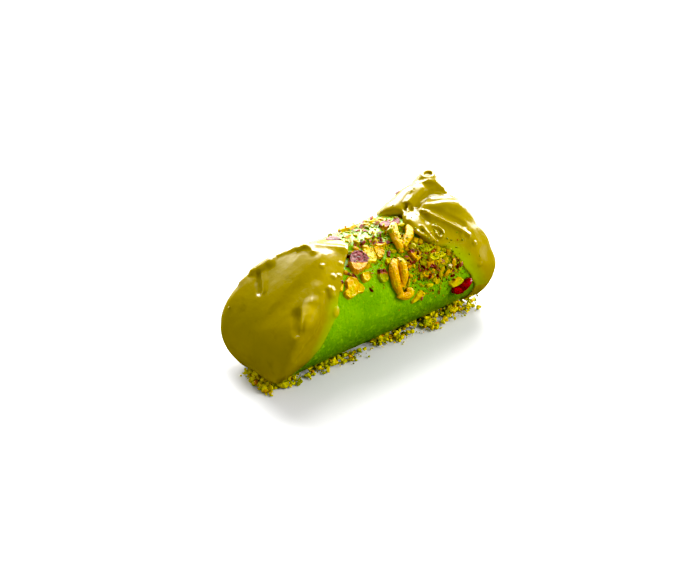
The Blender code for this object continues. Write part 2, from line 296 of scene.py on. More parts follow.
def makeGroup(name, inputs, outputs):
    group = bpy.data.node_groups.new(name, "ShaderNodeTree")
    for label, value in inputs.items():
        socket = group.interface.new_socket(label, in_out="INPUT", socket_type="NodeSocketFloat")
        socket.default_value = value
    for label in outputs:
        group.interface.new_socket(label, in_out="OUTPUT", socket_type="NodeSocketFloat")
    entry, leave = group.nodes.new("NodeGroupInput"), group.nodes.new("NodeGroupOutput")
    return group, entry.outputs, leave.inputs


def makeMottle():
    # soft blotches: a mask that crosses from 0 to 1 between Low and High
    group, given, made = makeGroup("mottle", {"Scale": 100, "Detail": 3, "Low": 0.4, "High": 0.6,
                                              "Stretch": 0.0}, ["Mask"])
    coords = addNode(group, "TexCoord")
    cloud = addNode(group, "TexNoise")
    band = addNode(group, "MapRange", interpolation_type="SMOOTHSTEP")
    joinSockets(group, (coords.outputs["Object"], cloud.inputs["Vector"]),
                (given["Scale"], cloud.inputs["Scale"]),
                (given["Detail"], cloud.inputs["Detail"]),
                (given["Stretch"], cloud.inputs["Distortion"]),
                (cloud.outputs["Fac"], band.inputs["Value"]),
                (given["Low"], band.inputs["From Min"]),
                (given["High"], band.inputs["From Max"]),
                (band.outputs["Result"], made["Mask"]))
    return group


def makePores():
    # tiny pits between grains, for crumb and sheet; Mask is 1 inside a pit, where the colour is darkened as
    # painted shade
    group, given, made = makeGroup("pores", {"Scale": 1500, "Size": 0.3}, ["Height", "Mask"])
    coords = addNode(group, "TexCoord")
    cells = addNode(group, "TexVoronoi")
    pit = addNode(group, "MapRange", interpolation_type="SMOOTHSTEP")
    flip = addNode(group, "Math", {0: 1.0}, operation="SUBTRACT")
    joinSockets(group, (coords.outputs["Object"], cells.inputs["Vector"]),
                (given["Scale"], cells.inputs["Scale"]),
                (cells.outputs["Distance"], pit.inputs["Value"]),
                (given["Size"], pit.inputs["From Max"]),
                (pit.outputs["Result"], made["Height"]),
                (pit.outputs["Result"], flip.inputs[1]),
                (flip.outputs[0], made["Mask"]))
    return group


mottle = makeMottle()
pores = makePores()


class Look:
    # a material with its own Principled shader, and short ways to add what varies over it
    def __init__(self, name, roughness, specular=0.5, coat=0.0, coatRoughness=0.1, glow=0.0,
                 glowDepth=0.002, glowColour=(1.0, 0.7, 0.2), sheen=(1.0, 0.98, 0.88)):
        self.material = bpy.data.materials.new(name)
        self.material.use_nodes = True
        self.tree = self.material.node_tree
        self.shader = self.tree.nodes["Principled BSDF"]
        for socket, value in (("Roughness", roughness), ("Specular IOR Level", specular),
                              ("Specular Tint", (*sheen, 1)), ("Coat Weight", coat),
                              ("Coat Roughness", coatRoughness), ("Subsurface Weight", glow),
                              ("Subsurface Scale", glowDepth), ("Subsurface Radius", glowColour)):
            self.shader.inputs[socket].default_value = value

    def feed(self, node, socket, value):
        # a colour or a number is set, and anything else is linked
        if isinstance(value, tuple):
            node.inputs[socket].default_value = (*value, 1)
        elif isinstance(value, (int, float)):
            node.inputs[socket].default_value = value
        else:
            self.tree.links.new(value, node.inputs[socket])

    def mask(self, scale, low, high, detail=3, stretch=0.0):
        values = {"Scale": scale, "Low": low, "High": high, "Detail": detail, "Stretch": stretch}
        return addNode(self.tree, "Group", values, node_tree=mottle).outputs["Mask"]

    def pits(self, scale, size):
        node = addNode(self.tree, "Group", {"Scale": scale, "Size": size}, node_tree=pores)
        return node.outputs["Height"], node.outputs["Mask"]

    def below(self, high, low):
        # 0 above one height in mm, 1 under the other
        where = addNode(self.tree, "TexCoord")
        apart = addNode(self.tree, "SeparateXYZ")
        fade = addNode(self.tree, "MapRange", {"From Min": high * mm, "From Max": low * mm})
        joinSockets(self.tree, (where.outputs["Object"], apart.inputs["Vector"]),
                    (apart.outputs["Z"], fade.inputs["Value"]))
        return fade.outputs["Result"]

    def painted(self, name):
        return addNode(self.tree, "Attribute", attribute_name=name).outputs["Fac"]

    def blend(self, factor, first, second):
        node = addNode(self.tree, "Mix", data_type="RGBA")
        for socket, value in (("A", first), ("B", second), ("Factor", factor)):
            self.feed(node, socket, value)
        return node.outputs["Result"]

    def sum(self, operation, first, second):
        node = addNode(self.tree, "Math", operation=operation)
        for socket, value in enumerate((first, second)):
            self.feed(node, socket, value)
        return node.outputs[0]

    def ramp(self, factor, tones):
        # colours by a value from 0 to 1: each tone is (value, colour)
        node = addNode(self.tree, "ValToRGB")
        stops = node.color_ramp.elements
        for index, (at, colour) in enumerate(tones):
            stop = stops[index] if index < 2 else stops.new(at)
            stop.position, stop.color = at, (*colour, 1)
        self.feed(node, "Fac", factor)
        return node.outputs["Color"]

    def colour(self, source):
        self.feed(self.shader, "Base Color", source)

    def bumps(self, *layers):
        # each layer is (height, depth in mm)
        normal = None
        for height, depth in layers:
            node = addNode(self.tree, "Bump", {"Distance": depth * mm})
            self.feed(node, "Height", height)
            if normal:
                self.feed(node, "Normal", normal)
            normal = node.outputs["Normal"]
        self.feed(self.shader, "Normal", normal)


# The rolled sheet.

# low is painted shade: the green the lower flank darkens to towards the ground
sheetColours = {"green": (0.205, 0.465, 0.002), "deep": (0.155, 0.385, 0.004), "pale": (0.30, 0.54, 0.02),
                "low": (0.09, 0.225, 0.002)}
sheetShade = (24, 9)  # heights in mm between which the lower flank turns to its low colour, a painted shade
sheetRipple = {"wide": 6, "deep": 0.5}  # mm


def lookOfSheet():
    look = Look("greenSheet", 0.4, 0.65, glow=0.15, glowDepth=0.0015, glowColour=(0.5, 1.0, 0.1),
                sheen=(0.95, 1.0, 0.85))
    height, pits = look.pits(900, 0.55)
    base = look.blend(look.mask(90, 0.35, 0.65), sheetColours["green"], sheetColours["deep"])
    # painted shade: the flank turns to the darker low green towards the bottom
    base = look.blend(look.below(*sheetShade), base, sheetColours["low"])
    fine = look.blend(look.mask(700, 0.5, 0.75), base, sheetColours["pale"])
    # painted shade: the sheet darkens towards its deep green inside the pits
    look.colour(look.blend(look.sum("MULTIPLY", pits, 0.35), fine, sheetColours["deep"]))
    look.bumps((height, 0.12), (look.mask(380, 0.3, 0.7), 0.18))
    return look.material


def crumple(piece, name, wide, deep):
    # raises and lowers the surface by soft clouds, sizes in mm
    clouds = bpy.data.textures.new(name, "CLOUDS")
    clouds.noise_scale = wide * mm
    modify(piece, "DISPLACE", texture=clouds, texture_coords="LOCAL", strength=deep * mm, mid_level=0.5)


def makeSheet():
    sheet = copyNode("shell", "rolledSheet")
    modify(sheet, "SUBSURF", levels=2, render_levels=2)
    crumple(sheet, "sheetRipple", **sheetRipple)
    finishPiece(sheet, lookOfSheet(), "sheet", "shell", smooth=50)
    return sheet


sheet = makeSheet()
print("sheet rolled:", len(sheet.data.polygons), "faces")


# The cream: its body, the strands joined to it, and strokes over it.

cream = {
    "grain": 0.5,  # size of the remeshed faces, mm
    "sink": 0.8,  # how far the thin spills reach into the sheet, mm
    "spill": (0.1, 0.45),  # how high the underside of a thin spill lies over the sheet, mm
    "ease": 4,  # smoothing passes after the remesh
}
# Ribbons of cream joined to the body: (x, degrees, mm above the cream, thickness in mm) along each
ribbons = {
    "lipEdge": [(26.6, 86, 0.2, 1.8), (23.4, 91, 0.5, 2.3), (21.4, 96, 0.8, 2.6), (20.6, 102, 1.0, 2.6),
                (20.9, 109, 1.2, 2.4), (21.5, 117, 1.2, 2.1), (22.4, 123, 0.9, 1.7), (24.8, 130, 0.5, 1.3)],
    "lipDrip": [(24.5, 112, 0.4, 1.6), (24.2, 118, 0.8, 1.7), (24.6, 124, 0.9, 1.6), (25.8, 129, 0.8, 1.4),
                (26.8, 132, 0.3, 1.0)],
    "curl": [(29.4, 116, 0.2, 1.2), (31.6, 120, 0.6, 1.4), (32.4, 125, 0.9, 1.4), (31.0, 130.5, 1.0, 1.3),
             (28.6, 130, 0.9, 1.1), (28.2, 126, 0.7, 1.0), (29.4, 123, 0.4, 0.9)],
    "apex": [(-27.6, 71, -0.6, 1.4), (-25.6, 73.5, 0.2, 1.6), (-24.2, 74.5, 0.5, 1.3),
             (-22.4, 79, -0.3, 1.2)],
}
caveUnderLip = {"place": (21.4, 117), "above": 1.0, "size": (4.6, 4.4, 1.9)}  # mm
peakRings = {"middle": (44.3, 75), "stops": 10, "tilt": 0.12, "rings": [  # radius, lift, thickness in mm
    (2.7, -0.5, 1.8), (3.7, -1.7, 2.2), (1.6, -1.8, 3.0)]}


def ringOnPeak(number, tree, radius, lift, thick):
    # a strand round the hollow on top of the peak
    centre = onRoll(tree, *peakRings["middle"])[0] + Vector((0, 0, lift * mm))
    places = []
    for step in range(peakRings["stops"] + 1):
        turn = step * math.tau / peakRings["stops"]
        way = Vector((math.cos(turn), math.sin(turn), peakRings["tilt"] * math.cos(turn)))
        places.append(centre + way * radius * mm)
    return strand("peakRing%d" % number, places, [thick] * len(places))


def ribbon(name, tree, stops):
    # a round strand along places on the surface below it
    places = [onRoll(tree, x, degrees)[0] + outFrom(degrees) * above * mm
              for x, degrees, above, thick in stops]
    return strand(name, places, [stop[3] for stop in stops])


def strand(name, places, thicknesses):
    line = bpy.data.curves.new(name, "CURVE")
    line.dimensions = "3D"
    line.bevel_depth, line.bevel_resolution, line.use_fill_caps = 1.0, 3, True
    spline = line.splines.new("NURBS")
    spline.points.add(len(places) - 1)
    spline.use_endpoint_u, spline.order_u, spline.resolution_u = True, 4, 6
    for point, place, thick in zip(spline.points, places, thicknesses):
        point.co = (*place, 1)
        point.radius = thick * mm / 2
    made = bpy.data.objects.new(name, line)
    bpy.context.scene.collection.objects.link(made)
    pickOnly(made)
    bpy.ops.object.convert(target="MESH")
    made = bpy.context.object
    mergePoints()
    return made


def nearLine(piece, points, reach):
    # which points of the piece lie within reach of a line through the given points
    count = len(piece.data.vertices)
    co = np.empty(count * 3)
    piece.data.vertices.foreach_get("co", co)
    co = co.reshape(-1, 3)
    best = np.full(count, 1e9)
    if len(points) == 1:
        points = points * 2
    for start, stop in zip(points, points[1:]):
        a, b = np.array(start), np.array(stop)
        span = b - a
        share = np.clip((co - a) @ span / max(span @ span, 1e-12), 0, 1)
        best = np.minimum(best, np.linalg.norm(co - a - share[:, None] * span, axis=1))
    return best < reach


def stroke(piece, points, push, reach, falloff="SMOOTH", grain=0.5):
    # pushes the surface along a line, in or out along its normals, with proportional editing
    chosen = nearLine(piece, points, grain * mm)
    piece.data.vertices.foreach_set("select", chosen)
    piece.data.edges.foreach_set("select", np.zeros(len(piece.data.edges), bool))
    piece.data.polygons.foreach_set("select", np.zeros(len(piece.data.polygons), bool))
    pickOnly(piece)
    bpy.ops.object.mode_set(mode="EDIT")
    bpy.ops.transform.shrink_fatten(value=push * mm, use_proportional_edit=True,
                                    proportional_edit_falloff=falloff, proportional_size=reach * mm,
                                    use_proportional_connected=True)
    bpy.ops.object.mode_set(mode="OBJECT")


def sinkSpills(piece, sheetTree):
    # the underside of each thin spill goes into the sheet, so that the remesh keeps it whole
    low, high = (height * mm for height in cream["spill"])
    for vert in piece.data.vertices:
        place, normal, index, away = sheetTree.find_nearest(vert.co)
        above = (vert.co - place).dot(normal)
        outward = normal.dot(Vector((0, place.y, place.z - axisHeight)).normalized()) > 0.5
        if outward and low < above < high:
            vert.co -= normal * cream["sink"] * mm


def carve(piece, tree, place, above, size):
    # takes a flat hollow out of the cream, just over the sheet
    bpy.ops.object.select_all(action="DESELECT")
    bpy.ops.mesh.primitive_uv_sphere_add(segments=24, ring_count=16, radius=0.5 * mm)
    cutter = bpy.context.object
    foot, normal = onRoll(tree, *place)
    along, out = Vector((1, 0, 0)), outFrom(place[1])
    turned = Matrix((along, out.cross(along), out)).transposed().to_4x4()
    moved = Matrix.Translation(foot + out * above * mm)
    cutter.data.transform(moved @ turned @ Matrix.Diagonal((*size, 1)))
    modify(piece, "BOOLEAN", operation="DIFFERENCE", object=cutter, solver="EXACT")
    bpy.data.objects.remove(cutter)


def makeCreamBody():
    body = copyNode("cream", "creamBody")
    sinkSpills(body, treeOf(frame["nodes"]["shell"]))
    modify(body, "SUBSURF", levels=2, render_levels=2)
    tree = treeOf(body, sheet)
    strands = [ribbon(name, tree, stops) for name, stops in ribbons.items()]
    strands += [ringOnPeak(number, tree, *ring) for number, ring in enumerate(peakRings["rings"])]
    pickOnly(body, *strands)
    bpy.ops.object.join()
    body = bpy.context.object
    modify(body, "REMESH", mode="VOXEL", voxel_size=cream["grain"] * mm)
    carve(body, treeOf(sheet), **caveUnderLip)
    modify(body, "SMOOTH", factor=0.5, iterations=cream["ease"])
    return body


creamBody = makeCreamBody()
print("cream remeshed:", len(creamBody.data.polygons), "faces")

creamTree = treeOf(creamBody)
# Along (x, degrees): push in mm, reach in mm, falloff. Several strokes can shape one form.
strokesOnRoll = [
    ("crest", [(-26.0, 68), (-24.3, 75), (-21.9, 83), (-17.3, 93), (-12.8, 100)], 0.8, 3.0, "SHARP"),
    ("capEdge", [(-33.5, 136), (-36.5, 146), (-39.5, 156), (-43.5, 165), (-49, 175), (-54, 187)],
     0.35, 1.6, "SMOOTH"),
    ("underCap", [(-31.5, 136), (-34.5, 146), (-37.6, 156), (-41.5, 165), (-47, 175), (-52, 187)],
     -0.35, 1.5, "SMOOTH"),
    ("bulge", [(-39.2, 141), (-41.8, 147), (-44.0, 153)], 0.9, 5.0, "SMOOTH"),
    ("bulgeTip", [(-45.0, 156)], 0.9, 2.4, "SMOOTH"),
    ("rim", "near", 0.7, 2.2, "SHARP"),
    ("wetBumps", [(-26.7, 109)], 0.5, 1.2, "SMOOTH"),
    ("wetBumps", [(-25, 124)], 0.6, 1.3, "SMOOTH"),
    ("wetBumps", [(-22.6, 125)], 0.5, 1.0, "SMOOTH"),
    ("wetBumps", [(-18.5, 114)], 0.4, 1.0, "SMOOTH"),
    ("wetLump", [(-29.4, 135), (-30.2, 139)], 0.9, 2.2, "SMOOTH"),
    ("yellowDrop", [(-30.3, 157)], 0.8, 2.0, "SPHERE"),
    ("farDome", [(53, 96), (54, 112), (54, 128), (54, 144), (54, 160)], -1.6, 9.0, "SMOOTH"),
    ("ridge", [(29.6, 98), (30.6, 100.5), (32.0, 107), (36.9, 120), (40.8, 130), (43.3, 138)],
     1.3, 1.7, "SHARP"),
    ("ridgeHollow", [(33.0, 97), (35.5, 105), (40, 116.5), (43.6, 126.5)], -0.9, 2.2, "SMOOTH"),
    ("ledge", [(34, 93), (38, 96), (42, 101), (46, 108)], 1.3, 4.2, "SMOOTH"),
    ("lipHollow", [(28.6, 97), (28.6, 108)], -0.6, 2.2, "SMOOTH"),
    ("crestFill", [(28.5, 85), (31, 83.5), (34, 82.5), (37, 81)], 1.7, 3.0, "SMOOTH"),
    ("crestEdge", [(26.5, 84.5), (28.5, 82.5), (30.6, 80.5), (33, 79), (35.1, 78), (37.4, 77), (39.6, 78),
                   (41.9, 80), (44.3, 82), (46.9, 85)], 0.9, 1.9, "SHARP"),
    ("crestFoot", [(27.2, 88.5), (30.5, 89), (33, 87.5), (35.1, 86.5), (38, 85), (39.8, 85), (43, 86.5),
                   (46.5, 88.5)], -0.8, 1.7, "SMOOTH"),
    ("foldCorner", [(26.2, 85.5), (24.6, 88), (23.4, 90.5)], -2.0, 1.4, "SMOOTH"),
    ("peakHollow", [(44.3, 75)], -0.9, 1.7, "SPHERE"),
    ("behindRim", [(-41, 26), (-38, 36), (-35, 46)], 1.4, 3.5, "SMOOTH"),
    ("bubbles", [(45.2, 148)], 0.45, 0.9, "SPHERE"),
    ("bubbles", [(45.5, 171)], 0.5, 1.0, "SPHERE"),
    ("bubbles", [(51.4, 169)], 0.45, 0.9, "SPHERE"),
    ("bubbles", [(40.2, 136)], 0.4, 1.0, "SPHERE"),
]
strokesOnFace = [  # along (y, z) in mm
    ("nick", [(20.6, 36.4), (19.2, 35.4), (13.9, 33.6), (9.4, 31.8)], -0.9, 1.9, "SMOOTH"),
    ("nickRidge", [(16.6, 37.0), (14.6, 36.0), (11.4, 34.7), (8.2, 32.9)], 0.35, 2.2, "SMOOTH"),
    ("dent", [(-15.2, 33.0), (-17.8, 31.6), (-20.6, 29.8)], -1.3, 3.2, "SMOOTH"),
]
rimSearch = {"from": -20.0, "to": -60, "step": 0.5, "lean": -0.35, "turns": range(18, 96, 6)}


def foundRim(degrees):
    # where the side of the roll ends at this angle, towards the near end
    x, step = rimSearch["from"], rimSearch["step"]
    while onRoll(creamTree, x - step, degrees)[1].x > rimSearch["lean"] and x > rimSearch["to"]:
        x -= step
    return x


def sculptCream():
    rim = [(foundRim(degrees), degrees) for degrees in rimSearch["turns"]]
    for strokes, placeOn in ((strokesOnRoll, onRoll), (strokesOnFace, onFace)):
        for name, places, push, reach, falloff in strokes:
            places = rim if places == "near" else places
            stroke(creamBody, [placeOn(creamTree, *place)[0] for place in places], push, reach, falloff)
    modify(creamBody, "SMOOTH", factor=0.4, iterations=2)


creamColours = {"olive": (0.325, 0.243, 0.004), "gold": (0.385, 0.28, 0.006), "deep": (0.26, 0.195, 0.003),
                "film": (0.36, 0.44, 0.005), "goldDropAndPaintedLight": (0.52, 0.39, 0.02)}
# Lighter gold: painted light on the bulge, where it catches the lamps, and the yellow drop's own colour.
goldDropAndLitBulgePlaces = [((-42.6, 145), 5.0), ((-45.2, 152), 4.0), ((-30.3, 157), 2.6)]  # where, and how wide in mm
goldCore = 1.6  # over 1, a core of even colour inside the fade
# Thin cream that lets the green sheet show through, along each border: between these degrees, over mm.
film = {"near": {"from": 136, "fadeIn": 14, "to": 250, "width": 8.0, "search": (-38, 0)},
        "far": {"from": 134, "fadeIn": 12, "to": 200, "width": 8.0, "search": (47, 14)},
        "searchSteps": 60, "fade": 6.0, "faceLean": 0.6}


def lookOfCream():
    look = Look("pistachioCream", 0.26, 0.6, coat=0.35, coatRoughness=0.13, glow=0.3, glowDepth=0.004,
                glowColour=(1.0, 0.85, 0.15))
    body = look.blend(look.mask(35, 0.35, 0.7), creamColours["olive"], creamColours["gold"])
    body = look.blend(look.mask(120, 0.55, 0.8), body, creamColours["deep"])
    body = look.blend(look.painted("film"), body, creamColours["film"])
    # painted light on the bulge, and the drop's own yellow, where the mask is painted
    look.colour(look.blend(look.painted("goldDropAndPaintedLight"), body, creamColours["goldDropAndPaintedLight"]))
    look.bumps((look.mask(160, 0.2, 0.8), 0.15), (look.mask(900, 0.3, 0.8), 0.02))
    return look.material


def clamped(value):
    return min(max(value, 0), 1)


def borderOfCream(start, stop, degrees):
    # where the cream ends on the sheet at this angle, searched from start towards stop, in mm
    steps = film["searchSteps"]
    for step in range(steps + 1):
        x = start + (stop - start) * step / steps
        top = onRoll(creamTree, x, degrees)[0]
        under = onRoll(sheetTree, x, degrees)[0]
        if top is None or (under and (under.yz - top.yz).dot(outFrom(degrees).yz) > 0):
            return x
    return stop


def filmAt(end, inside, turn):
    # how thin the cream is, this many mm inside its border
    plan = film[end]
    low = clamped((turn - plan["from"]) / plan["fadeIn"]) * (turn < plan["to"])
    return clamped((plan["width"] - inside) / film["fade"]) * low


def paintFilm(piece):
    turns = range(0, 360, 4)
    near, far = ([borderOfCream(*film[end]["search"], turn) for turn in turns] for end in ("near", "far"))
    values = []
    for vert in piece.data.vertices:
        turn = math.degrees(math.atan2(vert.co.z - axisHeight, vert.co.y)) % 360
        x = vert.co.x / mm
        if abs(vert.normal.x) > film["faceLean"]:
            values.append(0)
        elif x < 0:
            values.append(filmAt("near", np.interp(turn, turns, near, period=360) - x, turn))
        else:
            values.append(filmAt("far", x - np.interp(turn, turns, far, period=360), turn))
    paint(piece, "film", values)


def paintGoldDropAndLitBulge(piece):
    # the bulge's share is painted light; the drop's share is its own yellow
    middles = [(onRoll(creamTree, *place)[0], wide * mm) for place, wide in goldDropAndLitBulgePlaces]
    paint(piece, "goldDropAndPaintedLight", [
        max(0, *(min(goldCore * (1 - (vert.co - middle).length / wide), 1) for middle, wide in middles))
        for vert in piece.data.vertices])


sculptCream()
sheetTree = treeOf(sheet)
paintFilm(creamBody)
paintGoldDropAndLitBulge(creamBody)
finishPiece(creamBody, lookOfCream(), "cream", "cream")
print("cream shaped")


# The large pistachio pieces and the berry.

kernelTones = [(0.0, (0.17, 0.15, 0.006)), (0.2, (0.36, 0.40, 0.008)), (0.4, (0.62, 0.56, 0.01)),
               (0.6, (0.76, 0.44, 0.005)), (0.8, (0.66, 0.27, 0.006)), (1.0, (0.85, 0.72, 0.30))]
skinColours = {"purple": (0.27, 0.035, 0.05), "dark": (0.07, 0.012, 0.012), "rust": (0.48, 0.13, 0.02)}


def lookOfKernel(name):
    # flesh goes by the painted tone; skin lies where it is painted, rusty at its torn edge
    look = Look(name, 0.4, 0.5, glow=0.15, glowDepth=0.0008, glowColour=(1.0, 0.6, 0.1))
    wander = look.sum("MULTIPLY", look.sum("SUBTRACT", look.mask(330, 0.3, 0.7), 0.5), 0.22)
    flesh = look.ramp(look.sum("ADD", look.painted("tone"), wander), kernelTones)
    torn = look.sum("ADD", look.painted("skin"), look.sum("MULTIPLY", look.mask(420, 0.3, 0.7, 5), 0.5))
    rust = look.sum("MULTIPLY", look.sum("SUBTRACT", torn, 0.55), 6.0)
    bark = look.sum("MULTIPLY", look.sum("SUBTRACT", torn, 0.75), 8.0)
    skin = look.blend(look.mask(900, 0.45, 0.6), skinColours["purple"], skinColours["dark"])
    for factor in (rust, bark):
        factor.node.use_clamp = True
    look.colour(look.blend(bark, look.blend(rust, flesh, skinColours["rust"]), skin))
    look.bumps((look.mask(520, 0.3, 0.7), 0.3), (look.mask(1700, 0.3, 0.7), 0.1))
    return look.material


def lookOfBerry():
    look = Look("redBerry", 0.15, 0.5, coat=0.5, coatRoughness=0.08, glow=0.1, glowDepth=0.001,
                glowColour=(1.0, 0.1, 0.05), sheen=(1.0, 1.0, 1.0))
    look.colour(look.blend(look.mask(300, 0.35, 0.65), (0.36, 0.0, 0.03), (0.09, 0.0, 0.012)))
    look.bumps((look.mask(400, 0.3, 0.7), 0.4))
    return look.material


noSkin, allSkin = -9, 9  # past either end of any piece
